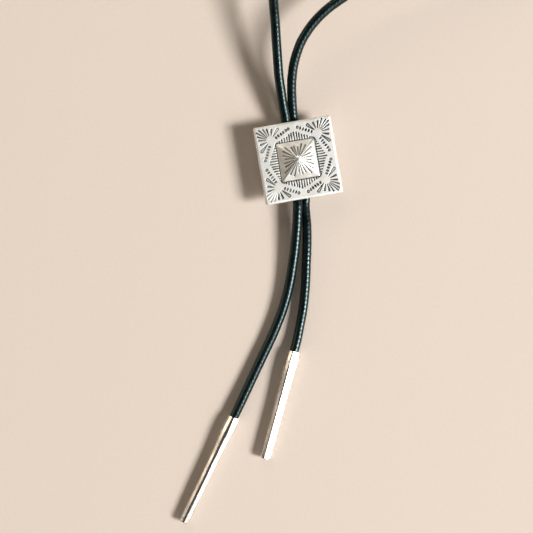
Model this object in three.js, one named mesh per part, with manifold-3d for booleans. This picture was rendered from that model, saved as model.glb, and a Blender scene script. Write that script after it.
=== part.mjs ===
// A bolo tie laid out flat: a square stamped silver slide on a leather cord with two silver tips.
// Sizes are in millimetres, +Z is up, and +Y runs from the slide to the neck loop. The origin is on the surface
// that the tie lies on, under the middle of the slide.

import Module from "manifold-3d";
import * as THREE from "three";
import { mergeVertices } from "three/addons/utils/BufferGeometryUtils.js";

const wasm = await Module();
wasm.setup();

// Driving sizes
const GAP = 0.3; // between pieces that touch on the real tie

const CORD_D = 4.0;
const CORD_SIDES = 10;
const CORD_STEP = 6;

const CLASP_LENGTH = 18;
const CLASP_WALL = 1.2;
const CLASP_CORNER_R = 2;
const CORD_CLEARANCE = 0.4; // from the cord to the clasp's slot

const PLATE_SIDE = 33;
const PLATE_THICK = 1.8;
const PLATE_CORNER_R = 0.9;
const PLATE_BEVEL = 0.5;

const PYRAMID_SIDE = 16.5;
const PYRAMID_H = 4.8;
const PYRAMID_BORDER_W = 1.3;
const PYRAMID_BORDER_H = 1.1;
const SOLDER_DEPTH = 0.6; // how far the pyramid's foot is sunk in the plate

const STAMP_DEPTH = 0.4;
const FAN_INSET = 6.4; // from the plate's two edges to the middle of a corner fan
const FAN_DISC_R = 1.9; // bare disc that the rays spread from
const FAN_REACH = 6.4; // from the middle of a fan to the end of its longest ray
const FAN_RAY_W = 0.95;
const ROW_MARKS = 6;
const ROW_MARK_L = 1.1;
const ROW_MARK_W = 0.72;
const HATCH_PITCH = 1.05;
const HATCH_W = 0.5;
const HATCH_PEAK = 3.6; // how far the hatched triangle stands out from the pyramid's foot
const PYRAMID_GROOVES = 24;
const PYRAMID_GROOVE_W = 0.62;

const TIP_R = 2.75;
const TIP_SIDES = 12;
const TIP_LENGTHS = { left: 50, right: 47.7 };

// Heights and spacings that follow from the driving sizes
const SLOT_H = CORD_D + 2 * CORD_CLEARANCE;
const SLOT_W = 2 * CORD_D + GAP + 2 * CORD_CLEARANCE;
const CLASP_H = SLOT_H + 2 * CLASP_WALL;
const CLASP_W = SLOT_W + 2 * CLASP_WALL;
const PLATE_Z = CLASP_H + GAP;
const PLATE_TOP = PLATE_Z + PLATE_THICK;
const QUARTER = Math.PI / 2;

// Rays of a corner fan: turn in degrees from the corner's diagonal, then length and width as shares of
// FAN_REACH and FAN_RAY_W. The outermost rays are the wide open ones.
const FAN_RAYS = [
  { turn: 10, reach: 1.0, width: 0.62 },
  { turn: 31, reach: 0.82, width: 0.62 },
  { turn: 51, reach: 0.74, width: 0.7 },
  { turn: 71, reach: 0.78, width: 0.85 },
  { turn: 92, reach: 0.92, width: 1.0 },
];

// The two ends of a row of marks, in shares of half the plate's side
const ROW_START = { along: 0.5, out: 0.67 };
const ROW_END = { along: 0.12, out: 0.845 };

// A tip from its collar to its blunt end: place as a share of its length, radius as a share of TIP_R
const TIP_PROFILE = [
  { at: 0.0, radius: 0.82 },
  { at: 0.04, radius: 0.92 },
  { at: 0.09, radius: 0.99 },
  { at: 0.17, radius: 1.0 },
  { at: 0.28, radius: 0.93 },
  { at: 0.42, radius: 0.86 },
  { at: 0.7, radius: 0.82 },
  { at: 0.95, radius: 0.8 },
  { at: 0.985, radius: 0.68 },
  { at: 1.0, radius: 0.45 },
];
const TIP_WIDEST = TIP_PROFILE[3];
const TIP_END = TIP_PROFILE[7];

// The cord's route as points on its centre line. The neck loop springs up a little where it leaves the
// clasp, comes down beyond, and is the whole loop. The two tails lie down towards their tips. At both edges of
// the slide the left strand rides up over the right one.
const NECK_ROUTE = [
  [-2.15, 0.15, 3.6], [-2.15, 9, 3.6], [-2.2, 12.5, 4.2], [-2.1, 16, 5.1], [-1.95, 18.8, 5.65],
  [-2.1, 24, 7.0], [-2.05, 30, 8.6], [-1.93, 36.2, 10.3], [-1.4, 42.2, 11.9], [-0.6, 50.2, 13.6],
  [0.2, 58, 15.1], [0.85, 65.5, 16.1], [3.6, 88, 17], [9, 110, 15.8],
  [16, 134, 12.4], [26, 160, 7.8], [40, 185, 4.0], [60, 208, 2.35], [86, 226, 2.05],
  [115, 234, 2.05], [143, 229, 2.05], [165, 211, 2.1], [177, 184, 2.2], [177, 154, 2.5],
  [166, 126, 3.9], [147, 102, 6.9], [122, 84, 10.6], [95, 74, 13.8], [68, 70, 16],
  [45, 67.3, 17.1], [26.2, 60.7, 16.9], [16.7, 55, 16.0], [9.8, 48.2, 14.3], [5.6, 41, 12.0],
  [3.6, 35.3, 9.9], [2.45, 29.6, 7.5], [1.8, 23.7, 4.9], [1.45, 18.6, 3.0],
  [1.65, 16, 2.75], [2.05, 12.5, 3.15], [2.15, 9, 3.6], [2.15, 0.15, 3.6],
];
const TAIL_ROUTES = {
  left: [
    [-2.15, -0.15, 3.6], [-2.15, -5, 3.6], [-2.15, -9, 3.65], [-2.6, -12.5, 4.3], [-2.95, -16, 5.1],
    [-3.15, -18.3, 5.25], [-3.85, -21.6, 5.2], [-5.0, -27, 4.8], [-7.15, -35.2, 4.2], [-9.1, -41.6, 3.6],
    [-12.3, -50.8, 2.9], [-16.7, -60.5, 2.4], [-23.0, -71, 2.1], [-29.0, -79.5, 2.1],
    [-36.0, -89.5, 2.3], [-42.4, -98.66, 2.7], [-45.3, -102.73, 2.9],
  ],
  right: [
    [2.15, -0.15, 3.6], [2.15, -5, 3.6], [2.15, -9, 3.55], [1.75, -12.5, 3.05], [0.75, -16, 2.45],
    [0.1, -18.6, 2.3], [-0.3, -22, 2.5], [-0.75, -27.6, 2.8], [-2.15, -36, 3.0], [-3.65, -43, 2.9],
    [-5.7, -52.6, 2.6], [-8.3, -62, 2.3], [-11.6, -71, 2.3], [-13.3, -75.33, 2.55], [-15.2, -79.4, 2.9],
  ],
};

const silver = new THREE.MeshStandardMaterial({ color: 0xd9d3cf, roughness: 0.35, metalness: 1 });
const plainMetal = new THREE.MeshStandardMaterial({ color: 0xa9abad, roughness: 0.4, metalness: 1 });
const leather = new THREE.MeshStandardMaterial({ color: 0x10191b, roughness: 0.5, metalness: 0 });

// Solids that can be joined and cut, made from closed geometries and turned back into them
function toSolid(geometry) {
  const bare = geometry.clone();
  bare.deleteAttribute("normal");
  bare.deleteAttribute("uv");
  const merged = mergeVertices(bare, 1e-4);
  return new wasm.Manifold(new wasm.Mesh({
    numProp: 3,
    vertProperties: new Float32Array(merged.attributes.position.array),
    triVerts: new Uint32Array(merged.index.array),
  }));
}

function toGeometry(solid) {
  const mesh = solid.getMesh();
  const geometry = new THREE.BufferGeometry();
  geometry.setAttribute("position", new THREE.BufferAttribute(new Float32Array(mesh.vertProperties), 3));
  geometry.setIndex(new THREE.BufferAttribute(new Uint32Array(mesh.triVerts), 1));
  geometry.computeVertexNormals();
  return geometry;
}

function cutAll(solid, cutters) {
  return cutters.reduce((body, cutter) => body.subtract(cutter), solid);
}

// A rectangle about the origin with round corners, added to a shape or path
function roundedRectangle(path, width, height, radius) {
  const x = width / 2 - radius;
  const y = height / 2 - radius;
  path.absarc(x, -y, radius, -QUARTER, 0);
  path.absarc(x, y, radius, 0, QUARTER);
  path.absarc(-x, y, radius, QUARTER, 2 * QUARTER);
  path.absarc(-x, -y, radius, 2 * QUARTER, 3 * QUARTER);
  path.closePath();
  return path;
}

// The square plate, with its edges rounded over
function plateSolid() {
  const outline = roundedRectangle(new THREE.Shape(), PLATE_SIDE, PLATE_SIDE, PLATE_CORNER_R);
  const plate = new THREE.ExtrudeGeometry(outline, {
    depth: PLATE_THICK - 2 * PLATE_BEVEL,
    curveSegments: 2,
    bevelThickness: PLATE_BEVEL,
    bevelSize: PLATE_BEVEL,
    bevelOffset: -PLATE_BEVEL,
    bevelSegments: 2,
  });
  return toSolid(plate.translate(0, 0, PLATE_Z + PLATE_BEVEL));
}

// The four-sided pyramid, with a steep border round a shallower top
function pyramidSolid() {
  const foot = PYRAMID_SIDE / Math.SQRT2;
  const brow = foot - PYRAMID_BORDER_W * Math.SQRT2;
  const profile = [
    new THREE.Vector2(0, -SOLDER_DEPTH),
    new THREE.Vector2(foot, -SOLDER_DEPTH),
    new THREE.Vector2(foot, 0),
    new THREE.Vector2(brow, PYRAMID_BORDER_H),
    new THREE.Vector2(0, PYRAMID_H),
  ];
  const pyramid = new THREE.LatheGeometry(profile, 4);
  pyramid.rotateX(QUARTER).rotateZ(QUARTER / 2);
  return toSolid(pyramid.translate(0, 0, PLATE_TOP));
}

// A mark struck into the plate: an outline that points along +X, turned and then put at a point
function stampCutter(outline, x, y, turn) {
  const mark = new THREE.ExtrudeGeometry(new THREE.Shape(outline), { depth: PLATE_THICK, bevelEnabled: false });
  return toSolid(mark.rotateZ(turn).translate(x, y, PLATE_TOP - STAMP_DEPTH));
}

// A groove with a V section, along +X before it is tilted down, turned and moved
function grooveCutter(length, width, x, y, z, turn, tilt = 0) {
  const groove = new THREE.OctahedronGeometry(1).scale(length / 2, width / 2, STAMP_DEPTH);
  return toSolid(groove.rotateY(tilt).rotateZ(turn).translate(x, y, z));
}

// A teardrop that starts as a narrow end at the origin and has its round end at length
function teardrop(length, width) {
  const neck = 0.12 * width;
  const round = width / 2;
  return [
    [0, -neck], [length - 1.6 * round, -round], [length - 0.4 * round, -0.7 * round], [length, 0],
    [length - 0.4 * round, 0.7 * round], [length - 1.6 * round, round], [0, neck],
  ].map(([x, y]) => new THREE.Vector2(x, y));
}

function oval(length, width) {
  const points = [];
  for (let i = 0; i < 8; i += 1) {
    const angle = (i / 8) * 4 * QUARTER;
    points.push(new THREE.Vector2((length / 2) * Math.cos(angle), (width / 2) * Math.sin(angle)));
  }
  return points;
}

function fanCutters() {
  const middle = PLATE_SIDE / 2 - FAN_INSET;
  const cutters = [];
  for (const ray of FAN_RAYS) {
    const outline = teardrop(ray.reach * FAN_REACH - FAN_DISC_R, ray.width * FAN_RAY_W);
    for (const side of [-1, 1]) {
      const turn = QUARTER / 2 + side * THREE.MathUtils.degToRad(ray.turn);
      const x = middle + FAN_DISC_R * Math.cos(turn);
      const y = middle + FAN_DISC_R * Math.sin(turn);
      cutters.push(stampCutter(outline, x, y, turn));
    }
  }
  return cutters;
}

function rowCutters() {
  const half = PLATE_SIDE / 2;
  const cutters = [];
  for (const side of [-1, 1]) {
    const start = new THREE.Vector2(side * ROW_START.along, ROW_START.out).multiplyScalar(half);
    const end = new THREE.Vector2(side * ROW_END.along, ROW_END.out).multiplyScalar(half);
    const across = end.clone().sub(start).angle() + QUARTER;
    for (let i = 0; i < ROW_MARKS; i += 1) {
      const at = start.clone().lerp(end, i / (ROW_MARKS - 1));
      cutters.push(stampCutter(oval(ROW_MARK_L, ROW_MARK_W), at.x, at.y, across));
    }
  }
  return cutters;
}

function hatchCutters() {
  const foot = PYRAMID_SIDE / 2;
  const count = Math.floor(foot / HATCH_PITCH);
  const cutters = [];
  for (let i = -count; i <= count; i += 1) {
    const length = HATCH_PEAK * (1 - Math.abs(i) / (count + 1)) + HATCH_W;
    cutters.push(grooveCutter(length, HATCH_W, i * HATCH_PITCH, foot + length / 2, PLATE_TOP, QUARTER));
  }
  return cutters;
}

function solderLineCutter() {
  const foot = PYRAMID_SIDE / 2;
  return grooveCutter(1.12 * PYRAMID_SIDE, HATCH_W, 0, foot, PLATE_TOP, 0);
}

// Grooves struck from near the apex outwards, each following the slope of the face that it lies on
function pyramidGrooveCutters() {
  const brow = PYRAMID_SIDE / 2 - PYRAMID_BORDER_W;
  const slope = (PYRAMID_H - PYRAMID_BORDER_H) / brow;
  const cutters = [];
  for (let i = 0; i < PYRAMID_GROOVES / 4; i += 1) {
    const fromNormal = (i + 0.5) * ((4 * QUARTER) / PYRAMID_GROOVES) - QUARTER / 2;
    const start = (i % 2 ? 0.16 : 0.24) * brow;
    const end = ((i % 2 ? 0.8 : 0.88) * brow) / Math.cos(fromNormal);
    const fall = slope * Math.cos(fromNormal);
    const middle = (start + end) / 2;
    const length = (end - start) * Math.hypot(1, fall);
    const turn = QUARTER + fromNormal;
    cutters.push(grooveCutter(
      length, PYRAMID_GROOVE_W,
      middle * Math.cos(turn), middle * Math.sin(turn), PLATE_TOP + PYRAMID_H - fall * middle,
      turn, Math.atan(fall),
    ));
  }
  return cutters;
}

// The stampwork of one side of the square, repeated on its four sides
function slideGeometry() {
  const oneSide = [
    ...fanCutters(), ...rowCutters(), ...hatchCutters(), solderLineCutter(), ...pyramidGrooveCutters(),
  ];
  let slide = plateSolid().add(pyramidSolid());
  for (let side = 0; side < 4; side += 1) {
    slide = cutAll(slide, oneSide.map((cutter) => cutter.rotate([0, 0, 90 * side])));
  }
  return toGeometry(slide);
}

// A flat sleeve round both cords
function claspGeometry() {
  const outline = roundedRectangle(new THREE.Shape(), CLASP_W, CLASP_H, CLASP_CORNER_R);
  const slot = roundedRectangle(new THREE.Path(), SLOT_W, SLOT_H, CLASP_CORNER_R - CLASP_WALL);
  outline.holes.push(slot);
  return new THREE.ExtrudeGeometry(outline, { depth: CLASP_LENGTH, curveSegments: 2, bevelEnabled: false });
}

function routeCurve(points) {
  return new THREE.CatmullRomCurve3(points.map((p) => new THREE.Vector3(...p)), false, "centripetal");
}

function cordGeometry(points) {
  const route = routeCurve(points);
  const section = new THREE.Shape();
  for (let i = 0; i < CORD_SIDES; i += 1) {
    const angle = (i / CORD_SIDES) * 4 * QUARTER;
    const x = (CORD_D / 2) * Math.cos(angle);
    const y = (CORD_D / 2) * Math.sin(angle);
    if (i === 0) section.moveTo(x, y);
    else section.lineTo(x, y);
  }
  section.closePath();
  const steps = Math.round(route.getLength() / CORD_STEP);
  return new THREE.ExtrudeGeometry(section, { extrudePath: route, steps });
}

function tipGeometry(length) {
  const profile = TIP_PROFILE.map(({ at, radius }) => new THREE.Vector2(radius * TIP_R, at * length));
  profile.unshift(new THREE.Vector2(0, 0));
  profile.push(new THREE.Vector2(0, length));
  return new THREE.LatheGeometry(profile, TIP_SIDES);
}

// A tip lies on its widest ring and on its end, a gap beyond the end of its cord and in line with it
function placeTip(mesh, length, route) {
  const end = route.getPoint(1);
  const heading = route.getTangent(1).setZ(0).normalize();
  const fall = ((TIP_WIDEST.radius - TIP_END.radius) * TIP_R) / ((TIP_END.at - TIP_WIDEST.at) * length);
  const axis = heading.clone().setZ(-fall).normalize();
  const collarZ = TIP_WIDEST.radius * TIP_R + TIP_WIDEST.at * length * fall;
  mesh.position.set(end.x, end.y, collarZ).addScaledVector(heading, GAP);
  mesh.quaternion.setFromUnitVectors(new THREE.Vector3(0, 1, 0), axis);
}

function named(name, geometry, material) {
  const mesh = new THREE.Mesh(geometry, material);
  mesh.name = name;
  return mesh;
}

const group = new THREE.Group();

group.add(named("slide", slideGeometry(), silver));

const clasp = named("back_clasp", claspGeometry(), plainMetal);
clasp.rotation.x = QUARTER;
clasp.position.set(0, CLASP_LENGTH / 2, CLASP_H / 2);
group.add(clasp);

group.add(named("neck_cord", cordGeometry(NECK_ROUTE), leather));

for (const side of ["left", "right"]) {
  group.add(named(`tail_cord_${side}`, cordGeometry(TAIL_ROUTES[side]), leather));
  const tip = named(`tip_${side}`, tipGeometry(TIP_LENGTHS[side]), silver);
  placeTip(tip, TIP_LENGTHS[side], routeCurve(TAIL_ROUTES[side]));
  group.add(tip);
}

export default group;
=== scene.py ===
"""The finish of a bolo tie laid out flat: a stamped silver slide on a braided leather cord with silver tips.

Everything is in metres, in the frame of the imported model: +Z up, +Y from the slide to the neck loop, and the
origin on the surface under the middle of the slide.
"""

import math

import bpy
import numpy as np
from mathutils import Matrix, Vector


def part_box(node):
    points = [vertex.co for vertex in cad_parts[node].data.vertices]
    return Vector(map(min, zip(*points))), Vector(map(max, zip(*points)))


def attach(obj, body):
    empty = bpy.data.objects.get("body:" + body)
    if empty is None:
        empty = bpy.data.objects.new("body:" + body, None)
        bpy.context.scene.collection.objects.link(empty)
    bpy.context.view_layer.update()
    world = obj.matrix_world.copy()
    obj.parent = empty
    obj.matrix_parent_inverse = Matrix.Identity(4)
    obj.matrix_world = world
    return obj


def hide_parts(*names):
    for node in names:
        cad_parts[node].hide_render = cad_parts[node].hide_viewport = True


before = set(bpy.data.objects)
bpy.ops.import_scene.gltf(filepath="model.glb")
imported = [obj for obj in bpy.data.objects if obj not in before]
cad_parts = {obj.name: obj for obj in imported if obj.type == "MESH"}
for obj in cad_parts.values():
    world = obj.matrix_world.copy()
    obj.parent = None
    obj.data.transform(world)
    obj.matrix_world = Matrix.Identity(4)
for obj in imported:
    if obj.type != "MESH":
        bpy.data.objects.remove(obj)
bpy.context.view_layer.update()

MM = 0.001

# Where the slide stands and how big it is, read from the frame
slide_low, slide_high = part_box("slide")
clasp_low, clasp_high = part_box("back_clasp")
PLATE_HALF = (slide_high[0] - slide_low[0]) / 2
PLATE_BACK_Z = slide_low[2]
PLATE_THICK = 1.8 * MM
PLATE_TOP_Z = PLATE_BACK_Z + PLATE_THICK
CLASP_LENGTH = clasp_high[1] - clasp_low[1]

# The photograph's view: 533 pixels square, from straight above, with the slide turned a little in it
PHOTO_SIDE_PX = 533
PHOTO_FOCAL_PX = 975
CAMERA_HEIGHT = 420 * MM
SLIDE_TURN = math.radians(9.84)
SLIDE_MIDDLE_PX = (298, 160)
SENSOR_MM = 36

# The cord's route as points on its centre line, in millimetres, as in the solids
CORD_D = 4.0 * MM
NECK_ROUTE_MM = [
    (-2.15, 0.15, 3.6), (-2.15, 9, 3.6), (-2.2, 12.5, 4.2), (-2.1, 16, 5.1), (-1.95, 18.8, 5.65),
    (-2.1, 24, 7.0), (-2.05, 30, 8.6), (-1.93, 36.2, 10.3), (-1.4, 42.2, 11.9), (-0.6, 50.2, 13.6),
    (0.2, 58, 15.1), (0.85, 65.5, 16.1), (3.6, 88, 17), (9, 110, 15.8),
    (16, 134, 12.4), (26, 160, 7.8), (40, 185, 4.0), (60, 208, 2.35), (86, 226, 2.05),
    (115, 234, 2.05), (143, 229, 2.05), (165, 211, 2.1), (177, 184, 2.2), (177, 154, 2.5),
    (166, 126, 3.9), (147, 102, 6.9), (122, 84, 10.6), (95, 74, 13.8), (68, 70, 16),
    (45, 67.3, 17.1), (26.2, 60.7, 16.9), (16.7, 55, 16.0), (9.8, 48.2, 14.3), (5.6, 41, 12.0),
    (3.6, 35.3, 9.9), (2.45, 29.6, 7.5), (1.8, 23.7, 4.9), (1.45, 18.6, 3.0),
    (1.65, 16, 2.75), (2.05, 12.5, 3.15), (2.15, 9, 3.6), (2.15, 0.15, 3.6),
]
TAIL_ROUTES_MM = {
    "left": [
        (-2.15, -0.15, 3.6), (-2.15, -5, 3.6), (-2.15, -9, 3.65), (-2.6, -12.5, 4.3), (-2.95, -16, 5.1),
        (-3.15, -18.3, 5.25), (-3.85, -21.6, 5.2), (-5.0, -27, 4.8), (-7.15, -35.2, 4.2), (-9.1, -41.6, 3.6),
        (-12.3, -50.8, 2.9), (-16.7, -60.5, 2.4), (-23.0, -71, 2.1), (-29.0, -79.5, 2.1),
        (-36.0, -89.5, 2.3), (-42.4, -98.66, 2.7), (-45.3, -102.73, 2.9),
    ],
    "right": [
        (2.15, -0.15, 3.6), (2.15, -5, 3.6), (2.15, -9, 3.55), (1.75, -12.5, 3.05), (0.75, -16, 2.45),
        (0.1, -18.6, 2.3), (-0.3, -22, 2.5), (-0.75, -27.6, 2.8), (-2.15, -36, 3.0), (-3.65, -43, 2.9),
        (-5.7, -52.6, 2.6), (-8.3, -62, 2.3), (-11.6, -71, 2.3), (-13.3, -75.33, 2.55), (-15.2, -79.4, 2.9),
    ],
}

# The braid: sixteen narrow strands, eight each way round, laid at this angle to the cord. The mesh has its
# points on the braid's own lattice, with this many steps across a strand, so every edge falls on a point.
STRANDS_EACH_WAY = 8
BRAID_ANGLE = math.radians(40)
BRAID_RELIEF = 0.06 * MM
BRAID_PERIOD = math.pi * CORD_D / STRANDS_EACH_WAY / math.tan(BRAID_ANGLE)
STEPS_ACROSS = 4
# How much lower a strand runs where it goes under another, and the mean height, as shares of the relief
STRAND_DIP = 0.4
BRAID_MEAN = 0.6

# How thick the leather is along each stretch, as a share of the cord's radius: (share of length, share)
NECK_SWELL = [(0, 0.98), (0.1, 1.0), (0.5, 1.0), (0.9, 1.0), (1, 0.98)]
TAIL_SWELL = {
    "left": [(0, 0.98), (0.12, 1.01), (0.3, 1.05), (0.75, 1.06), (0.94, 1.02), (0.975, 0.97), (1, 0.94)],
    "right": [(0, 0.98), (0.15, 0.99), (0.6, 1.0), (0.96, 0.98), (1, 0.94)],
}


def linear(hex_colour):
    """An sRGB hex colour as linear RGBA."""
    values = [int(hex_colour[i : i + 2], 16) / 255 for i in (1, 3, 5)]
    return [v / 12.92 if v <= 0.04045 else ((v + 0.055) / 1.055) ** 2.4 for v in values] + [1.0]


def photo_to_frame(x, y):
    """A direction given right and up in the photograph, turned into the frame's X and Y."""
    cos, sin = math.cos(SLIDE_TURN), math.sin(SLIDE_TURN)
    return x * cos + y * sin, -x * sin + y * cos


def make_camera():
    """Looks straight down, as the photograph does, with its right side up."""
    middle = PHOTO_SIDE_PX / 2
    per_pixel = (CAMERA_HEIGHT - PLATE_TOP_Z) / PHOTO_FOCAL_PX
    right = (middle - SLIDE_MIDDLE_PX[0]) * per_pixel
    up = (SLIDE_MIDDLE_PX[1] - middle) * per_pixel
    data = bpy.data.cameras.new("copy_stand_camera")
    data.sensor_width = SENSOR_MM
    data.lens = SENSOR_MM * PHOTO_FOCAL_PX / PHOTO_SIDE_PX
    data.clip_start, data.clip_end = 0.01, 20
    camera = bpy.data.objects.new("copy_stand_camera", data)
    camera.location = (*photo_to_frame(right, up), CAMERA_HEIGHT)
    camera.rotation_euler = (0, 0, -SLIDE_TURN)
    bpy.context.scene.collection.objects.link(camera)
    bpy.context.scene.camera = camera


def mesh_object(name, points, faces, material, sharp_deg=None, attributes=None):
    """A smooth-shaded piece that rides on the tie, with float attributes for its material."""
    mesh = bpy.data.meshes.new(name)
    mesh.from_pydata([tuple(p) for p in points], [], [tuple(f) for f in faces])
    mesh.shade_smooth()
    if sharp_deg is not None:
        mesh.set_sharp_from_angle(angle=math.radians(sharp_deg))
    for key, values in (attributes or {}).items():
        kind, field = ("FLOAT_VECTOR", "vector") if np.ndim(values) == 2 else ("FLOAT", "value")
        layer = mesh.attributes.new(key, kind, "POINT")
        layer.data.foreach_set(field, np.ravel(values).astype(np.float32))
    mesh.materials.append(material)
    piece = bpy.data.objects.new(name, mesh)
    bpy.context.scene.collection.objects.link(piece)
    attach(piece, "root")
    return piece


def tube_faces(rings, around):
    """Faces of a tube of rings, closed by a fan at each end round two last points."""
    ring, step = np.meshgrid(np.arange(rings - 1), np.arange(around), indexing="ij")
    a = ring * around + step
    b = ring * around + (step + 1) % around
    sides = np.stack([a, b, b + around, a + around], axis=-1).reshape(-1, 4)
    return sides.tolist() + end_fans(rings, around)


def end_fans(rings, around):
    """Triangles that close both ends of a tube round two last points."""
    first, last, top = rings * around, rings * around + 1, (rings - 1) * around
    faces = []
    for k in range(around):
        after = (k + 1) % around
        faces.append((first, after, k))
        faces.append((last, top + k, top + after))
    return faces


def lattice_faces(rings, around):
    """Triangles of a tube whose every other ring is turned by half a step, closed as above."""
    ring, step = np.meshgrid(np.arange(rings - 1), np.arange(around), indexing="ij")
    shift = ring % 2
    here, beside = ring * around + step, ring * around + (step + 1) % around
    ahead = (ring + 1) * around + (step + shift) % around
    before = np.stack([here, beside, ahead], axis=-1).reshape(-1, 3)
    beyond = (ring + 1) * around + (step + shift + 1) % around
    after = np.stack([beside, beyond, ahead], axis=-1).reshape(-1, 3)
    return np.vstack([before, after]).tolist() + end_fans(rings, around)


# The cord's centre line


def centripetal_curve(points, steps_each=60):
    """A centripetal Catmull-Rom curve through the points, finely sampled."""
    p = np.asarray(points, float)
    p = np.vstack([2 * p[0] - p[1], p, 2 * p[-1] - p[-2]])
    samples = []
    for i in range(1, len(p) - 2):
        before, start, end, after = p[i - 1 : i + 3]
        into, over, out = np.linalg.norm(np.diff(p[i - 1 : i + 3], axis=0), axis=1) ** 0.5
        leave = (start - before) / into - (end - before) / (into + over) + (end - start) / over
        arrive = (end - start) / over - (after - start) / (over + out) + (after - end) / out
        leave *= over
        arrive *= over
        t = np.linspace(0, 1, steps_each, endpoint=False)[:, None]
        samples.append(
            start
            + leave * t
            + (-3 * start + 3 * end - 2 * leave - arrive) * t**2
            + (2 * start - 2 * end + leave + arrive) * t**3
        )
    return np.vstack([*samples, p[-2]])


def evenly_spaced(line, spacing):
    """The same line with points about spacing apart, and the distance of each along it."""
    run = np.concatenate([[0], np.cumsum(np.linalg.norm(np.diff(line, axis=0), axis=1))])
    count = max(2, round(run[-1] / spacing) + 1)
    at = np.linspace(0, run[-1], count)
    return np.stack([np.interp(at, run, line[:, k]) for k in range(3)], axis=1), at


def carried_frames(line):
    """A side and an up at each point of the line, carried along it without twisting."""
    along = np.gradient(line, axis=0)
    along /= np.linalg.norm(along, axis=1)[:, None]
    up = np.zeros_like(line)
    up[0] = np.cross(along[0], np.cross((0, 0, 1), along[0]))
    for i in range(1, len(line)):
        up[i] = up[i - 1] - along[i] * np.dot(up[i - 1], along[i])
        up[i] /= np.linalg.norm(up[i])
    return np.cross(along, up), up


def braid_height(one_way, other_way):
    """How proud the leather stands, from 0 between strands to 1 on a strand's crown.

    one_way and other_way count strands across each of the two lays, whole numbers being their edges.
    """
    one_over = (np.floor(one_way) + np.floor(other_way)) % 2 == 0
    across_one = 2 * (one_way % 1) - 1
    across_other = 2 * (other_way % 1) - 1
    across = np.where(one_over, across_one, across_other)
    along = np.where(one_over, across_other, across_one)
    return np.sqrt(np.clip(1 - across**2, 0, 1)) * (1 - STRAND_DIP * along**2)


def make_cord(name, route_mm, swell, material, run_on=0.0):
    """A braided round cord along the route, and run_on further, with its line and its length."""
    curve = centripetal_curve(np.array(route_mm) * MM)
    if run_on:
        onwards = curve[-1] - curve[-2]
        curve = np.vstack([curve, curve[-1] + onwards * run_on / np.linalg.norm(onwards)])
    line, run = evenly_spaced(curve, BRAID_PERIOD / (2 * STEPS_ACROSS))
    side, up = carried_frames(line)
    around = STRANDS_EACH_WAY * STEPS_ACROSS
    ring = np.arange(len(line))[:, None]
    step = np.arange(around)[None, :] + (ring % 2) / 2
    height = braid_height((step + ring / 2) / STEPS_ACROSS, (step - ring / 2) / STEPS_ACROSS)
    angle = -2 * np.pi * step / around
    share = np.interp(run / run[-1], *zip(*swell))
    radius = CORD_D / 2 * share[:, None] + BRAID_RELIEF * (height - BRAID_MEAN)
    points = (
        line[:, None, :]
        + (radius * np.cos(angle))[..., None] * side[:, None, :]
        + (radius * np.sin(angle))[..., None] * up[:, None, :]
    ).reshape(-1, 3)
    points = np.vstack([points, line[0], line[-1]])
    crown = np.append(height.ravel(), [0.5, 0.5])
    lay = np.zeros((len(points), 3))
    lay[:-2, 0] = np.repeat(run, around)
    lay[:-2, 1] = (angle * CORD_D / 2).ravel()
    faces = lattice_faces(len(line), around)
    piece = mesh_object(name, points, faces, material, attributes={"crown": crown, "lay": lay})
    return piece, line, run[-1]


# Materials


def connect(tree, node, inputs):
    """Sets or links a node's inputs, each to a value, an sRGB hex colour or another node's output."""
    for key, value in inputs.items():
        if isinstance(value, bpy.types.NodeSocket):
            tree.links.new(value, node.inputs[key])
        else:
            node.inputs[key].default_value = linear(value) if isinstance(value, str) else value


def add(tree, kind, inputs=None, output=0, **settings):
    """Adds a node with its settings and links, and gives back one of its outputs."""
    node = tree.nodes.new(kind)
    for key, value in settings.items():
        setattr(node, key, value)
    connect(tree, node, inputs or {})
    return node.outputs[output]


def start_material(name):
    """A new material, its node tree and its shader."""
    material = bpy.data.materials.new(name)
    material.use_nodes = True
    tree = material.node_tree
    return material, tree, tree.nodes["Principled BSDF"]


def per_mm(size):
    """A texture's scale for a pattern of this size in millimetres, on coordinates in metres."""
    return 1 / (size * MM)


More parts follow.
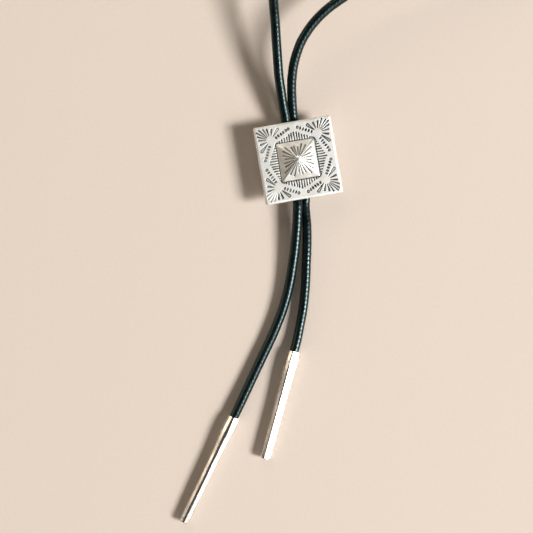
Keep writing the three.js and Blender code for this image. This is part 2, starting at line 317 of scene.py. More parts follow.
def stamped_sterling_silver():
    """Sterling silver plate, rolled, hand-stamped, darkened with sulphur and rubbed back to a satin face.

    That gives a bright white metal with a soft sheen, near-black blue-green recesses, a faint grey cloud of
    tarnish, and fine rubbing scratches in two directions. The raised pyramid is rubbed brighter.
    """
    material, tree, shader = start_material("stamped_sterling_silver")
    place = add(tree, "ShaderNodeTexCoord", output="Object")
    dark = add(tree, "ShaderNodeAttribute", output="Fac", attribute_name="patina_and_shade")
    polish = add(tree, "ShaderNodeAttribute", output="Fac", attribute_name="polish")
    cloud = add(tree, "ShaderNodeTexNoise", {"Vector": place, "Scale": per_mm(5), "Detail": 5.0})
    speck = add(tree, "ShaderNodeTexNoise", {"Vector": place, "Scale": per_mm(0.5), "Detail": 3.0})

    tarnish = add(tree, "ShaderNodeMapRange", {"Value": cloud, "From Min": 0.42, "From Max": 0.68})
    face = add(tree, "ShaderNodeMix", {0: tarnish, 6: "#f4f7f6", 7: "#dfddd7"}, 2, data_type="RGBA")
    fleck = add(tree, "ShaderNodeMapRange", {"Value": speck, "To Min": 0.8, "To Max": 1.25})
    stain = add(tree, "ShaderNodeMath", {0: dark, 1: fleck}, operation="MULTIPLY", use_clamp=True)
    # The stamped marks carry sulphur patina; the seam round the pyramid's foot carries painted shade as well
    colour = add(tree, "ShaderNodeMix", {0: stain, 6: face, 7: "#0b2227"}, 2, data_type="RGBA")

    satin = add(
        tree,
        "ShaderNodeMapRange",
        {"Value": cloud, "From Min": 0.35, "From Max": 0.7, "To Min": 0.56, "To Max": 0.68},
    )
    buffed = add(tree, "ShaderNodeMath", {0: polish, 1: -0.2, 2: satin}, operation="MULTIPLY_ADD")
    rough = add(tree, "ShaderNodeMath", {0: dark, 1: 0.16, 2: buffed}, operation="MULTIPLY_ADD")

    # Rubbing leaves scratches about 0.03 mm wide, which is too fine to show, so they are drawn at 0.12 mm.
    # They run two ways, given as a turn in radians and a length in millimetres.
    grain = speck
    for turn, length in ((0.35, 6), (1.9, 4)):
        sizes = (per_mm(length), per_mm(0.12), per_mm(0.5))
        along = {"Vector": place, "Rotation": (0, 0, turn), "Scale": sizes}
        drawn_out = add(tree, "ShaderNodeMapping", along)
        scratches = add(tree, "ShaderNodeTexNoise", {"Vector": drawn_out, "Scale": 1.0, "Detail": 2.0})
        grain = add(tree, "ShaderNodeMath", {0: grain, 1: scratches}, operation="ADD")
    bump = add(tree, "ShaderNodeBump", {"Height": grain, "Strength": 0.35, "Distance": 0.012 * MM})
    connect(tree, shader, {"Metallic": 1.0, "Base Color": colour, "Roughness": rough, "Normal": bump})
    return material


def forged_sterling_silver():
    """Sterling silver tube, forged to a taper over a mandrel, filed along its length and polished.

    That gives a bright glossy metal whose long facets each mirror one side of the room, with fine lengthways
    file lines, and painted shade that darkens the cord's socket towards its bottom.
    """
    material, tree, shader = start_material("forged_sterling_silver")
    lay = add(tree, "ShaderNodeAttribute", output="Vector", attribute_name="lay")
    socket_shade = add(tree, "ShaderNodeAttribute", output="Fac", attribute_name="patina_and_shade")
    long_patches = add(tree, "ShaderNodeMapping", {"Vector": lay, "Scale": (per_mm(9), per_mm(1.6), 1)})
    cloud = add(tree, "ShaderNodeTexNoise", {"Vector": long_patches, "Scale": 1.0, "Detail": 4.0})
    # A fine file's lines are about 0.1 mm apart, which is too fine to show, so they are drawn at 0.16 mm
    long_lines = add(tree, "ShaderNodeMapping", {"Vector": lay, "Scale": (per_mm(7), per_mm(0.16), 1)})
    files = add(tree, "ShaderNodeTexNoise", {"Vector": long_lines, "Scale": 1.0, "Detail": 3.0})

    tarnish = add(tree, "ShaderNodeMapRange", {"Value": cloud, "From Min": 0.45, "From Max": 0.75})
    face = add(tree, "ShaderNodeMix", {0: tarnish, 6: "#f3efea", 7: "#c9bfae"}, 2, data_type="RGBA")
    # Painted shade: the inside of the socket goes dark towards its bottom
    colour = add(tree, "ShaderNodeMix", {0: socket_shade, 6: face, 7: "#2a3233"}, 2, data_type="RGBA")
    rough = add(
        tree,
        "ShaderNodeMapRange",
        {"Value": cloud, "From Min": 0.35, "From Max": 0.75, "To Min": 0.22, "To Max": 0.33},
    )
    bump = add(tree, "ShaderNodeBump", {"Height": files, "Strength": 0.5, "Distance": 0.02 * MM})
    connect(tree, shader, {"Metallic": 1.0, "Base Color": colour, "Roughness": rough, "Normal": bump})
    return material


def braided_black_leather():
    """Calf leather strands, dyed black, braided round and waxed.

    That gives a deep blue-black with painted shade between the strands, a soft tight highlight broken up by
    each strand's crown, and a fine pebble in the grain.
    """
    material, tree, shader = start_material("braided_black_leather")
    place = add(tree, "ShaderNodeTexCoord", output="Object")
    lay = add(tree, "ShaderNodeAttribute", output="Vector", attribute_name="lay")
    crown = add(tree, "ShaderNodeAttribute", output="Fac", attribute_name="crown")
    wear = add(tree, "ShaderNodeTexNoise", {"Vector": place, "Scale": per_mm(3), "Detail": 4.0})

    rubbed = add(tree, "ShaderNodeMapRange", {"Value": crown, "From Min": 0.5, "From Max": 1.0})
    faded = add(tree, "ShaderNodeMapRange", {"Value": wear, "From Min": 0.4, "From Max": 0.7})
    worn = add(tree, "ShaderNodeMath", {0: rubbed, 1: faded}, operation="MULTIPLY")
    strand = add(tree, "ShaderNodeMix", {0: worn, 6: "#04090a", 7: "#0e181a"}, 2, data_type="RGBA")
    # Painted shade: the leather goes near black down between the strands, where their crowns shade it
    clear_of_crevice_shade = add(tree, "ShaderNodeMapRange", {"Value": crown, "From Min": 0.1, "From Max": 0.55})
    colour = add(tree, "ShaderNodeMix", {0: clear_of_crevice_shade, 6: "#010303", 7: strand}, 2, data_type="RGBA")
    rough = add(
        tree,
        "ShaderNodeMapRange",
        {"Value": wear, "From Min": 0.3, "From Max": 0.7, "To Min": 0.26, "To Max": 0.4},
    )

    # Calf grain is about 0.1 mm across, which is too fine to show, so it is drawn at 0.25 mm
    pebble = add(tree, "ShaderNodeTexVoronoi", {"Vector": lay, "Scale": per_mm(0.25)}, "Distance")
    bump = add(tree, "ShaderNodeBump", {"Height": pebble, "Strength": 0.25, "Distance": 0.02 * MM})
    waxed = {"IOR": 1.5, "Specular Tint": "#b4e0e4", "Coat Weight": 0.1, "Coat Roughness": 0.18}
    connect(tree, shader, {**waxed, "Base Color": colour, "Roughness": rough, "Normal": bump})
    return material


def pressed_nickel_silver():
    """Nickel silver sheet, pressed and tumbled.

    That gives a plain, slightly yellow-grey metal with a dull even gloss.
    """
    material, tree, shader = start_material("pressed_nickel_silver")
    place = add(tree, "ShaderNodeTexCoord", output="Object")
    cloud = add(tree, "ShaderNodeTexNoise", {"Vector": place, "Scale": per_mm(2), "Detail": 4.0})
    grain = add(tree, "ShaderNodeTexNoise", {"Vector": place, "Scale": per_mm(0.3), "Detail": 3.0})
    colour = add(tree, "ShaderNodeMix", {0: cloud, 6: "#b9b5a9", 7: "#99968d"}, 2, data_type="RGBA")
    rough = add(
        tree,
        "ShaderNodeMapRange",
        {"Value": cloud, "From Min": 0.3, "From Max": 0.7, "To Min": 0.3, "To Max": 0.45},
    )
    bump = add(tree, "ShaderNodeBump", {"Height": grain, "Strength": 0.2, "Distance": 0.02 * MM})
    connect(tree, shader, {"Metallic": 1.0, "Base Color": colour, "Roughness": rough, "Normal": bump})
    return material


def pale_board():
    """Matt painted board, which gives a plain pale surface with a barely visible tooth."""
    material, tree, shader = start_material("pale_board")
    place = add(tree, "ShaderNodeTexCoord", output="Object")
    # The roller leaves a tooth of about 0.4 mm, which is too fine to show, so it is drawn at 1.2 mm
    tooth = add(tree, "ShaderNodeTexNoise", {"Vector": place, "Scale": per_mm(1.2), "Detail": 5.0})
    colour = add(tree, "ShaderNodeMix", {0: tooth, 6: "#cabeb3", 7: "#d1c6bc"}, 2, data_type="RGBA")
    rough = add(tree, "ShaderNodeMapRange", {"Value": tooth, "To Min": 0.75, "To Max": 0.95})
    bump = add(tree, "ShaderNodeBump", {"Height": tooth, "Strength": 0.2, "Distance": 0.1 * MM})
    matt = {"Specular IOR Level": 0.2}
    connect(tree, shader, {**matt, "Base Color": colour, "Roughness": rough, "Normal": bump})
    return material


# The slide

PYRAMID_HALF = 8.25 * MM
PYRAMID_H = 4.8 * MM
PYRAMID_BORDER_W = 1.3 * MM
PYRAMID_BORDER_H = 0.85 * MM
PYRAMID_CREASE_R = 0.07 * MM
APEX_R = 1.0 * MM
# The higher this power, the squarer the pyramid's rings and the sharper its ridges
RIDGE_POWER = 32
# The groove that the soldering left round the pyramid's foot, painted dark: oxide in the seam and painted
# shade in its crease
SEAM_OUT = 0.08 * MM
SEAM_W = 0.17 * MM
SEAM_DEPTH = 0.25 * MM
SEAM_DARKNESS = 0.95

EDGE_CHAMFER_W = 0.7 * MM
EDGE_CHAMFER_H = 0.38 * MM
EDGE_CREASE_R = 0.02 * MM
RIM_W = 0.12 * MM
RIM_DROP = 0.08 * MM
CORNER_R = 0.9 * MM
# How far out the square rings start to take round corners, as a share of the half side
CORNER_STARTS = 0.85
# The rings of the back edge: how far each lies in from the outline, and how far it stands off the back
BACK_EDGE = [(0.0, 0.35 * MM), (0.1 * MM, 0.12 * MM), (0.35 * MM, 0.0)]
# The face's grid: its step on the flat, and the finer steps of the edge, which widen inwards
GRID_STEP = 0.12 * MM
EDGE_STEPS = 9
EDGE_GRADING = 1.5

# The unevenness of the rolled plate and of its outline: seed, mean length of the waves, and height or
# share. Each wave's length is a random share of the mean.
WAVES = 7
WAVE_SHARES = (0.6, 1.6)
FACE_WAVES = [(3, 9 * MM, 0.05 * MM), (4, 2.2 * MM, 0.014 * MM)]
OUTLINE_WAVES = (11, 14 * MM, 0.008)

# What one blow of a punch leaves: a floor with sloping walls, a faint burr round it, and a stain that
# spreads past it by this many widths of a wall
STAMP_DEPTH = 0.24 * MM
STAMP_WALL = 0.1 * MM
STAMP_STROKE = 0.26 * MM
BURR_SHARE = 0.06
BURR_OUT = 0.16 * MM
BURR_W = 0.09 * MM
STAIN_SPREAD = 1.1
# How unevenly the punches were held and struck: turns are in radians, the rest are shares
STAMP_SEED = 7
SLIP = 0.04 * MM
TURN_SLIP = 0.03
OVAL_TURN_SLIP = 0.12
LENGTH_SHARES = (0.94, 1.05)
FORCE_SHARES = (0.82, 1.08)

# Rays of a corner fan: turn in degrees from the corner's diagonal, where it ends from the fan's middle and
# its width in millimetres, and how open the punch's loop is. The outermost rays are the wide open ones.
FAN_INSET = 6.4 * MM
FAN_DISC_R = 1.9 * MM
FAN_RAYS = [
    (6, 6.9, 0.56, 0.0),
    (19, 6.2, 0.56, 0.0),
    (36, 5.2, 0.75, 0.5),
    (60, 5.0, 0.85, 0.5),
    (88, 6.3, 1.3, 0.6),
]
# How hard each corner was struck, for its open outer rays and for the narrow ones between them. The third
# corner is worn.
CORNER_FORCES = [(1.0, 1.0), (0.85, 0.9), (0.95, 0.5), (1.0, 0.9)]

# The rows of ovals: where each starts and ends, across and out from the middle, as shares of the half side
ROW_START = (0.46, 0.66)
ROW_END = (0.12, 0.83)
ROW_MARKS = 6
ROW_MARK_L = 1.25 * MM
ROW_MARK_W = 0.78 * MM
ROW_LAST_W = 1.15 * MM
ROW_OPENNESS = 0.5

# The hatched point that stands on each side of the pyramid
HATCH_LINES_EACH_SIDE = 6
HATCH_PITCH = 1.07 * MM
HATCH_PEAK = 3.5 * MM
HATCH_LEAST = 0.4 * MM
HATCH_W = 0.5 * MM
HATCH_GAP = 0.1 * MM
HATCH_TAIL = 0.55

# The mark that points outwards at each end of a hatched side
FOOT_MARK_TURN = math.radians(66)
FOOT_MARK_L = 1.5 * MM
FOOT_MARK_W = 0.4 * MM
FOOT_MARK_GAP = 0.05 * MM
FOOT_MARK_FORCE = 0.8

# The pyramid's grooves, long and short by turns: their starts and ends are shares of the way to its brow
GROOVES = 24
GROOVE_STARTS = (0.28, 0.2)
GROOVE_ENDS = (0.92, 0.82)
GROOVE_W = 0.6 * MM
GROOVE_TAIL = 0.3
GROOVE_FORCE = 0.75
# The grooves are a little paler than the plate's marks, from this far in from the pyramid's foot
GROOVE_DARKNESS = 0.95
FOOT_W = 0.3 * MM


class Stampwork:
    """Depth and darkness of everything that was struck into the face, at each point of it."""

    def __init__(self, x, y):
        self.x, self.y = x, y
        self.depth = np.zeros_like(x)
        self.patina_and_shade = np.zeros_like(x)
        self.random = np.random.default_rng(STAMP_SEED)

    def teardrop(self, x, y, turn, length, width, openness=0.0, force=1.0, tail=0.2):
        """One blow of a punch whose narrow end stands at x, y. tail is that end's share of the width."""
        turn = turn + self.random.normal(0, TURN_SLIP)
        length = length * self.random.uniform(*LENGTH_SHARES)
        near, along, across = self._beside(x, y, turn, length + width)
        head = width / 2
        share = np.clip(along / (length - head), 0, 1)
        half = head * (tail + (1 - tail) * share)
        past = np.clip(along - (length - head), 0, None)
        before = np.clip(-along, 0, None)
        self._press(near, half - np.sqrt(across**2 + past**2 + before**2), openness, force)

    def oval(self, x, y, turn, length, width, openness=0.0, force=1.0):
        """One blow of a small oval punch centred on x, y."""
        turn = turn + self.random.normal(0, OVAL_TURN_SLIP)
        near, along, across = self._beside(x, y, turn, length)
        reach = np.hypot(along / length, across / width) * 2
        self._press(near, (1 - reach) * width / 2, openness, force)

    def _beside(self, x, y, turn, within):
        """Which points are near x, y, missed by a little, and how far each is along and across the punch."""
        slip_x, slip_y = self.random.normal(0, SLIP, 2)
        dx, dy = self.x - x - slip_x, self.y - y - slip_y
        near = dx**2 + dy**2 < within**2
        cos, sin = math.cos(turn), math.sin(turn)
        return near, dx[near] * cos + dy[near] * sin, dy[near] * cos - dx[near] * sin

    def _press(self, near, inside, openness, force):
        """Sinks and stains the metal where inside is positive, less so in the middle of an open punch."""
        force = force * self.random.uniform(*FORCE_SHARES)
        wall = np.clip(inside / STAMP_WALL + 0.5, 0, 1)
        middle = openness * np.clip((inside - STAMP_STROKE) / STAMP_WALL, 0, 1)
        burr = BURR_SHARE * np.exp(-(((inside + BURR_OUT) / BURR_W) ** 2))
        sunk = wall * (1 - middle)
        self.depth[near] = np.maximum(self.depth[near], (sunk - burr) * force * STAMP_DEPTH)
        stain = np.clip(inside / STAMP_WALL + STAIN_SPREAD, 0, 1) * (1 - middle)
        self.patina_and_shade[near] = np.maximum(self.patina_and_shade[near], stain * min(force, 1.0))


def strike_quarter(work, quarter, outer_force, inner_force):
    """The stampwork of one side and one corner of the square, turned to that quarter of it."""
    turn = quarter * math.pi / 2
    cos, sin = math.cos(turn), math.sin(turn)

    def turned(x, y):
        return x * cos - y * sin, x * sin + y * cos

    middle = PLATE_HALF - FAN_INSET
    for degrees, end, width, openness in FAN_RAYS:
        force = outer_force if openness else inner_force
        for side in (-1, 1):
            heading = math.pi / 4 + side * math.radians(degrees)
            start = turned(middle + FAN_DISC_R * math.cos(heading), middle + FAN_DISC_R * math.sin(heading))
            work.teardrop(*start, heading + turn, end * MM - FAN_DISC_R, width * MM, openness, force)
    for side in (-1, 1):
        start = np.array((side * ROW_START[0], ROW_START[1])) * PLATE_HALF
        end = np.array((side * ROW_END[0], ROW_END[1])) * PLATE_HALF
        across = math.atan2(*(end - start)[::-1]) + turn + math.pi / 2
        for i in range(ROW_MARKS):
            at = start + (end - start) * i / (ROW_MARKS - 1)
            width = ROW_LAST_W if i == ROW_MARKS - 1 else ROW_MARK_W
            work.oval(*turned(*at), across, ROW_MARK_L, width, ROW_OPENNESS, outer_force)
    for i in range(-HATCH_LINES_EACH_SIDE, HATCH_LINES_EACH_SIDE + 1):
        length = HATCH_PEAK * (1 - abs(i) / (HATCH_LINES_EACH_SIDE + 1)) + HATCH_LEAST
        start = turned(i * HATCH_PITCH, PYRAMID_HALF + HATCH_GAP)
        work.teardrop(*start, math.pi / 2 + turn, length, HATCH_W, force=outer_force, tail=HATCH_TAIL)
    for side in (-1, 1):
        start = turned(side * PYRAMID_HALF, PYRAMID_HALF + FOOT_MARK_GAP)
        heading = math.pi / 2 + side * FOOT_MARK_TURN + turn
        work.teardrop(*start, heading, FOOT_MARK_L, FOOT_MARK_W, force=FOOT_MARK_FORCE * outer_force)


def strike_pyramid(work):
    """Grooves struck from near the apex down the pyramid's faces, shallower than those in the plate."""
    brow = PYRAMID_HALF - PYRAMID_BORDER_W
    for i in range(GROOVES):
        heading = (i + 0.5) * 2 * math.pi / GROOVES
        off_normal = (heading + math.pi / 4) % (math.pi / 2) - math.pi / 4
        start = GROOVE_STARTS[i % 2] * brow
        end = GROOVE_ENDS[i % 2] * brow / math.cos(off_normal)
        x, y = start * math.cos(heading), start * math.sin(heading)
        work.teardrop(x, y, heading, end - start, GROOVE_W, force=GROOVE_FORCE, tail=GROOVE_TAIL)


def round_corners(x, y, reach):
    """Square rings carried to rings with round corners, so that the outermost follows the outline."""
    radius = CORNER_R * np.clip((reach / PLATE_HALF - CORNER_STARTS) / (1 - CORNER_STARTS), 0, 1)
    inner = reach - radius
    over_x, over_y = np.abs(x) - inner, np.abs(y) - inner
    corner = (over_x > 0) & (over_y > 0) & (radius > 0)
    size = np.hypot(over_x, over_y)
    scale = np.where(corner, np.maximum(over_x, over_y) / np.where(corner, size, 1), 1)
    new_x = np.where(corner, np.sign(x) * (inner + over_x * scale), x)
    new_y = np.where(corner, np.sign(y) * (inner + over_y * scale), y)
    return new_x, new_y


def waviness(x, y, seed, size, amount):
    """A gentle unevenness of the metal, from a few long waves in random directions."""
    random = np.random.default_rng(seed)
    total = np.zeros_like(x)
    for _ in range(WAVES):
        heading, phase = random.uniform(0, 2 * np.pi, 2)
        length = size * random.uniform(*WAVE_SHARES)
        total += np.sin(2 * np.pi * (x * math.cos(heading) + y * math.sin(heading)) / length + phase)
    return amount * total / WAVES


def soft_least(values, softness):
    """The least of several arrays, with the creases between them rounded."""
    return -softness * np.logaddexp.reduce([-np.asarray(v) / softness for v in values])


def pyramid_height(reach):
    """Height of the soldered pyramid: blunt at its apex, with four soft ridges and a steep border."""
    brow = PYRAMID_HALF - PYRAMID_BORDER_W
    blunt = np.hypot(reach, APEX_R) - APEX_R
    blunt_brow = math.hypot(brow, APEX_R) - APEX_R
    top = PYRAMID_H - blunt * (PYRAMID_H - PYRAMID_BORDER_H) / blunt_brow
    border = (PYRAMID_HALF - reach) * PYRAMID_BORDER_H / PYRAMID_BORDER_W
    return np.clip(soft_least([top, border], PYRAMID_CREASE_R), 0, None)


def slide_face(x, y, edge):
    """The slide's face: height above the plate's top, darkness, and whether it is on the pyramid.

    edge is the distance in from the rim.
    """
    powers = np.abs(x / MM) ** RIDGE_POWER + np.abs(y / MM) ** RIDGE_POWER
    reach = powers ** (1 / RIDGE_POWER) * MM
    seam = np.exp(-(((reach - PYRAMID_HALF - SEAM_OUT) / SEAM_W) ** 2))
    work = Stampwork(x, y)
    for quarter, forces in enumerate(CORNER_FORCES):
        strike_quarter(work, quarter, *forces)
    strike_pyramid(work)
    patina_and_shade = np.where(reach < PYRAMID_HALF - FOOT_W, GROOVE_DARKNESS * work.patina_and_shade, work.patina_and_shade)
    chamfer = EDGE_CHAMFER_H * (1 - edge / EDGE_CHAMFER_W)
    drop = -soft_least([np.zeros_like(edge), -chamfer], EDGE_CREASE_R)
    drop += RIM_DROP * (1 - np.sqrt(1 - np.clip(1 - edge / RIM_W, 0, 1) ** 2))
    uneven = sum(waviness(x, y, *waves) for waves in FACE_WAVES)
    height = pyramid_height(reach) - work.depth - SEAM_DEPTH * seam - drop + uneven
    # The seam's dark is oxide and painted shade together
    return height, np.clip(patina_and_shade + SEAM_DARKNESS * seam, 0, 1), reach < PYRAMID_HALF


def make_slide(material):
    """The stamped square with its pyramid, as one closed piece."""
    inner = PLATE_HALF - EDGE_CHAMFER_W
    rim = EDGE_CHAMFER_W * (np.arange(1, EDGE_STEPS + 1) / EDGE_STEPS) ** EDGE_GRADING
    flat = np.linspace(-inner, inner, round(2 * inner / GRID_STEP) + 1)
    rim_outwards = PLATE_HALF - rim[:-1][::-1]
    ticks = np.concatenate([[-PLATE_HALF], -rim_outwards[::-1], flat, rim_outwards, [PLATE_HALF]])
    n = len(ticks)
    x, y = (grid.ravel() for grid in np.meshgrid(ticks, ticks, indexing="xy"))
    reach = np.maximum(np.abs(x), np.abs(y))
    edge = PLATE_HALF - reach
    x, y = round_corners(x, y, reach)
    height, patina_and_shade, domed = slide_face(x, y, edge)
    wander = 1 + waviness(x, y, *OUTLINE_WAVES) * (reach / PLATE_HALF) ** 4
    points = [np.stack([x * wander, y * wander, PLATE_TOP_Z + height], axis=1)]

    index = np.arange(n * n).reshape(n, n)
    squares = np.stack([index[:-1, :-1], index[:-1, 1:], index[1:, 1:], index[1:, :-1]], axis=-1)
    faces = squares.reshape(-1, 4).tolist()
    loop = np.concatenate([index[0, :-1], index[:-1, -1], index[-1, :0:-1], index[:0:-1, 0]])
    outline = points[0][loop]
    rings = [loop]
    start = n * n
    for inset, off_back in BACK_EDGE:
        ring = outline.copy()
        ring[:, :2] *= 1 - inset / PLATE_HALF
        ring[:, 2] = PLATE_BACK_Z + off_back
        points.append(ring)
        rings.append(np.arange(start, start + len(loop)))
        start += len(loop)
    points.append(np.array([[0, 0, PLATE_BACK_Z]]))
    for upper, lower in zip(rings[:-1], rings[1:]):
        faces += np.stack([upper, lower, np.roll(lower, -1), np.roll(upper, -1)], axis=1).tolist()
    last = rings[-1]
    faces += np.stack([last, np.full(len(last), start), np.roll(last, -1)], axis=1).tolist()

    points = np.vstack(points)
    dark = np.zeros(len(points))
    dark[: n * n] = patina_and_shade
    polish = np.zeros(len(points))
    polish[: n * n] = domed
    attributes = {"patina_and_shade": dark, "polish": polish}
    piece = mesh_object("stamped_slide", points, faces, material, sharp_deg=60, attributes=attributes)
    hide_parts("slide")


# The tips

TIP_R = 2.75 * MM
TIP_LENGTHS = {"left": 50 * MM, "right": 47.7 * MM}
# Each tip's outline, as (share of its length, share of TIP_R)
TIP_PROFILES = {
    "left": [
        (0.0, 0.86), (0.03, 0.94), (0.08, 1.01), (0.14, 1.01), (0.26, 0.91), (0.36, 0.86), (0.5, 0.83),
        (0.75, 0.81), (0.95, 0.76), (0.985, 0.74), (0.995, 0.68), (1.0, 0.55),
    ],
    "right": [
        (0.0, 0.86), (0.03, 0.94), (0.08, 1.01), (0.17, 1.0), (0.27, 0.95), (0.38, 0.89), (0.5, 0.86),
        (0.75, 0.86), (0.95, 0.85), (0.985, 0.83), (0.995, 0.77), (1.0, 0.64),
    ],
}
# Where each tip lies on the floor: its share of the length and the radius there, as a share of TIP_R
TIP_WIDEST = (0.17, 1.0)
TIP_ENDS = {"left": (0.95, 0.8), "right": (0.95, 0.85)}
MOUTH_R = 2.0 * MM
MOUTH_WALL = 0.08 * MM
MOUTH_REACH = 0.08
SOCKET_DEPTH = 3 * MM
CORD_IN_TIP = 2 * MM
GAP = 0.3 * MM

# The flats that the hammer left along each tip: which way each faces, in degrees from the tip's right side,
# and how far in it lies, as a share of the radius
TIP_FLATS = {
    "left": [
        (0, 1.0), (62, 0.91), (94, 0.935), (122, 0.92), (158, 0.92),
        (190, 0.98), (225, 1.0), (270, 0.995), (315, 1.0),
    ],
    "right": [
        (0, 1.0), (64, 0.83), (95, 0.99), (122, 0.97), (158, 0.92),
        (190, 0.98), (225, 1.0), (270, 0.995), (315, 1.0),
    ],
}
# How the flats wander along the tip: radians round it and a share of the radius, with how many waves
FLAT_SWAY = 0.03
SWAY_WAVES = (0.6, 1.5)
FLAT_SINK = 0.006
SINK_WAVES = (2, 6)
FLAT_CREASE = 0.006
# The round of the tip between its flats, and that of its far end, as shares of the radius
ROUND_SHARE = 1.06
END_ROUND_SHARE = 0.97
END_ROUND_STARTS = 0.98
# A flat reaches round the tip until it faces this little outwards, and beyond that it is left out
LEAST_FACING = 0.3
NO_FLAT = 3.0

TIP_STEPS_AROUND = 96
TIP_STEPS_ALONG = 150
END_STEPS = 25
END_STARTS = 0.95
END_GRADING = 1.6


def tip_radii(side, share, angle, random):
    """The tip's radius at each share of its length and each angle round it."""
    flats = []
    for degrees, near in TIP_FLATS[side]:
        sway = FLAT_SWAY * np.sin(2 * np.pi * (share * random.uniform(*SWAY_WAVES) + random.uniform()))
        sink = FLAT_SINK * np.sin(2 * np.pi * (share * random.uniform(*SINK_WAVES) + random.uniform()))
        facing = np.cos(angle[None, :] - (math.radians(degrees) + sway)[:, None])
        flat = (near + sink)[:, None] / np.maximum(facing, LEAST_FACING)
        flats.append(np.where(facing > LEAST_FACING, flat, NO_FLAT))
    section = soft_least([*flats, np.full_like(flats[0], ROUND_SHARE)], FLAT_CREASE)
    rounding = np.clip((share - END_ROUND_STARTS) / (1 - END_ROUND_STARTS), 0, 1)[:, None]
    section = section * (1 - rounding) + END_ROUND_SHARE * rounding
    radius = np.interp(share, *zip(*TIP_PROFILES[side]))[:, None] * TIP_R
    least = np.where(share < MOUTH_REACH, MOUTH_R + MOUTH_WALL, 0)[:, None]
    return np.maximum(radius * section, least)


def make_tip(side, line, material, seed):
    """A forged taper with an open mouth that the cord goes into, lying on its widest ring and its end."""
    random = np.random.default_rng(seed)
    length = TIP_LENGTHS[side]
    onwards = line[-1] - line[-2]
    heading = np.array([onwards[0], onwards[1], 0]) / np.hypot(onwards[0], onwards[1])
    (widest_at, widest), (end_at, end) = TIP_WIDEST, TIP_ENDS[side]
    fall = (widest - end) * TIP_R / ((end_at - widest_at) * length)
    axis = np.array([heading[0], heading[1], -fall]) / math.hypot(1, fall)
    cord_end = np.array(TAIL_ROUTES_MM[side][-1]) * MM
    mouth = np.array([cord_end[0], cord_end[1], TIP_R + widest_at * length * fall]) + heading * GAP
    # Across the tip towards the right of the photograph
    right = np.cross((0, 0, 1), axis)
    right /= np.linalg.norm(right)
    up = np.cross(axis, right)

    around = TIP_STEPS_AROUND
    far_end = 1 - (1 - END_STARTS) * (1 - np.linspace(0, 1, END_STEPS + 1)[1:]) ** END_GRADING
    share = np.concatenate([np.linspace(0, END_STARTS, TIP_STEPS_ALONG), far_end])
    angle = 2 * np.pi * np.arange(around) / around
    outer = tip_radii(side, share, angle, random)
    run = np.concatenate([[SOCKET_DEPTH, 0], share * length])
    radius = np.vstack([np.full((2, around), MOUTH_R), outer])
    points = (
        mouth
        + run[:, None, None] * axis
        + (radius * np.cos(angle))[..., None] * right
        + (radius * np.sin(angle))[..., None] * up
    ).reshape(-1, 3)
    points = np.vstack([points, mouth + SOCKET_DEPTH * axis, mouth + length * axis])
    lay = np.zeros((len(points), 3))
    lay[:-2, 0] = np.repeat(run, around)
    lay[:-2, 1] = np.tile(angle * TIP_R, len(run))
    # Painted shade: the inside of the socket darkens from its mouth to its bottom
    patina_and_shade = np.zeros(len(points))
    patina_and_shade[:around] = 1
    patina_and_shade[-2] = 1
    faces = tube_faces(len(run), around)
    attributes = {"lay": lay, "patina_and_shade": patina_and_shade}
    name = f"forged_tip_{side}"
    piece = mesh_object(name, points, faces, material, sharp_deg=50, attributes=attributes)
    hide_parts(f"tip_{side}")
    return piece


# The clasp

CLASP_WALL = 1.2 * MM
CLASP_CORNER_R = 2.0 * MM
CLASP_BROKEN_EDGE = 0.25 * MM
# The solder pad: its share of the clasp's length, and how far it is sunk into the clasp and the plate
PAD_SHARE = 0.8
PAD_CORNER_R = 1.0 * MM
PAD_IN_CLASP = 0.1 * MM
PAD_IN_PLATE = 0.05 * MM


def rounded_rectangle(width, height, radius, steps=6):
    """Points round a rectangle with round corners, anticlockwise from the lower right corner."""
    points = []
    for quarter, (sx, sy) in enumerate(((1, -1), (1, 1), (-1, 1), (-1, -1))):
        for k in range(steps + 1):
            angle = math.pi / 2 * (quarter - 1 + k / steps)
            x = sx * (width / 2 - radius) + radius * math.cos(angle)
            y = sy * (height / 2 - radius) + radius * math.sin(angle)
            points.append((x, y))
    return np.array(points)


def make_clasp(material):
    """The plain sleeve behind the slide, with its edges broken."""
    width, height = clasp_high[0] - clasp_low[0], clasp_high[2] - clasp_low[2]
    middle_z = (clasp_high[2] + clasp_low[2]) / 2
    half = CLASP_LENGTH / 2
    broken = CLASP_BROKEN_EDGE
    # Round the wall, outside and back inside: how far in each ring lies, and where along the sleeve
    sections = [
        (0, half - broken),
        (0, -half + broken),
        (broken, -half),
        (CLASP_WALL - broken, -half),
        (CLASP_WALL, -half + broken),
        (CLASP_WALL, half - broken),
        (CLASP_WALL - broken, half),
        (broken, half),
    ]
    rings = []
    for inset, y in sections:
        outline = rounded_rectangle(width - 2 * inset, height - 2 * inset, CLASP_CORNER_R - inset)
        rings.append(np.column_stack([outline[:, 0], np.full(len(outline), y), middle_z + outline[:, 1]]))
    around, count = len(rings[0]), len(rings)
    faces = []
    for i in range(count):
        here, ahead = i * around, (i + 1) % count * around
        for k in range(around):
            after = (k + 1) % around
            faces.append((here + k, here + after, ahead + after, ahead + k))
    piece = mesh_object("cord_clasp", np.vstack(rings), faces, material, sharp_deg=40)
    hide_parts("back_clasp")


def make_solder_pad(material):
    """The pad between the clasp and the plate that holds them together."""
    width = clasp_high[0] - clasp_low[0] - 2 * CLASP_CORNER_R
    pad = rounded_rectangle(width, CLASP_LENGTH * PAD_SHARE, PAD_CORNER_R)
    low, high = clasp_high[2] - PAD_IN_CLASP, PLATE_BACK_Z + PAD_IN_PLATE
    points = np.vstack([np.column_stack([pad, np.full(len(pad), z)]) for z in (low, high)])
    n = len(pad)
    faces = [(k, (k + 1) % n, n + (k + 1) % n, n + k) for k in range(n)]
    faces += [tuple(range(n - 1, -1, -1)), tuple(range(n, 2 * n))]
    piece = mesh_object("solder_pad", points, faces, material, sharp_deg=40)


# The room

FLOOR_HALF = 8.0
FLOOR_DROP = 0.05 * MM
LIGHT_DISTANCE = 5.0
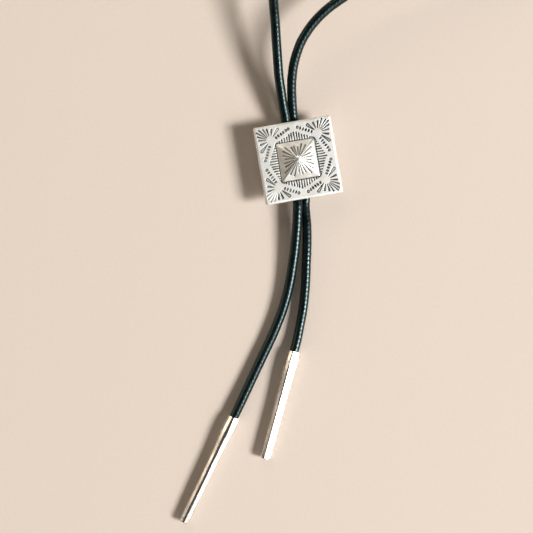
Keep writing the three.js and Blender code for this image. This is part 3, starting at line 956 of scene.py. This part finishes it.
# The key stands to the right as in the photograph, and the metal mirrors the four dim ones: name, degrees
# round from the photograph's right, degrees up, side in metres, watts and colour
SOFTBOXES = [
    ("key_softbox", -15, 38, 1.3, 376, "#fffcf9"),
    ("upper_softbox", 100, 36, 2.32, 48, "#fbeedd"),
    ("lower_softbox", -80, 33, 1.96, 20.7, "#fdf4ea"),
    ("left_softbox", 158, 26, 2.32, 38, "#f7e3c8"),
    ("tip_softbox", -31, 34, 1.96, 57.4, "#fff9f2"),
]


def make_floor():
    """A plain pale surface that the tie lies on."""
    half, z = FLOOR_HALF, -FLOOR_DROP
    points = [(-half, -half, z), (half, -half, z), (half, half, z), (-half, half, z)]
    mesh = bpy.data.meshes.new("floor")
    mesh.from_pydata(points, [], [(0, 1, 2, 3)])
    mesh.materials.append(pale_board())
    floor = bpy.data.objects.new("floor", mesh)
    bpy.context.scene.collection.objects.link(floor)


def make_softbox(name, round_degrees, up_degrees, side, watts, colour):
    """A square soft light that faces the tie."""
    heading = math.radians(round_degrees)
    x, y = photo_to_frame(math.cos(heading), math.sin(heading))
    lift = math.radians(up_degrees)
    data = bpy.data.lights.new(name, "AREA")
    data.shape = "SQUARE"
    data.size = side
    data.energy = watts
    data.color = linear(colour)[:3]
    light = bpy.data.objects.new(name, data)
    back = np.array([x * math.cos(lift), y * math.cos(lift), math.sin(lift)])
    light.location = back * LIGHT_DISTANCE
    light.rotation_euler = light.location.to_track_quat("Z", "Y").to_euler()
    bpy.context.scene.collection.objects.link(light)


def make_room_glow():
    """A dim ceiling and warm, brighter low walls all round."""
    world = bpy.data.worlds.new("studio")
    world.use_nodes = True
    tree = world.node_tree
    towards = add(tree, "ShaderNodeTexCoord", output="Generated")
    height = add(tree, "ShaderNodeSeparateXYZ", {"Vector": towards}, "Z")
    low = add(
        tree,
        "ShaderNodeMapRange",
        {"Value": height, "From Min": 0.05, "From Max": 0.5, "To Min": 1, "To Max": 0},
    )
    colour = add(tree, "ShaderNodeMix", {0: low, 6: "#dfe3e4", 7: "#e2c8aa"}, 2, data_type="RGBA")
    strength = add(tree, "ShaderNodeMapRange", {"Value": low, "To Min": 0.07, "To Max": 0.5})
    connect(tree, tree.nodes["Background"], {"Color": colour, "Strength": strength})
    bpy.context.scene.world = world


bpy.context.scene.view_settings.view_transform = "Standard"
make_camera()

leather = braided_black_leather()
neck, _, _ = make_cord("braided_neck_loop", NECK_ROUTE_MM, NECK_SWELL, leather)
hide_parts("neck_cord")

forged_silver = forged_sterling_silver()
for seed, side in enumerate(("left", "right")):
    name = f"braided_tail_{side}"
    tail, line, length = make_cord(
        name, TAIL_ROUTES_MM[side], TAIL_SWELL[side], leather, run_on=GAP + CORD_IN_TIP
    )
    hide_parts(f"tail_cord_{side}")
    tip = make_tip(side, line, forged_silver, seed)

make_slide(stamped_sterling_silver())
nickel_silver = pressed_nickel_silver()
make_clasp(nickel_silver)
make_solder_pad(nickel_silver)
make_floor()
for softbox in SOFTBOXES:
    make_softbox(*softbox)
make_room_glow()
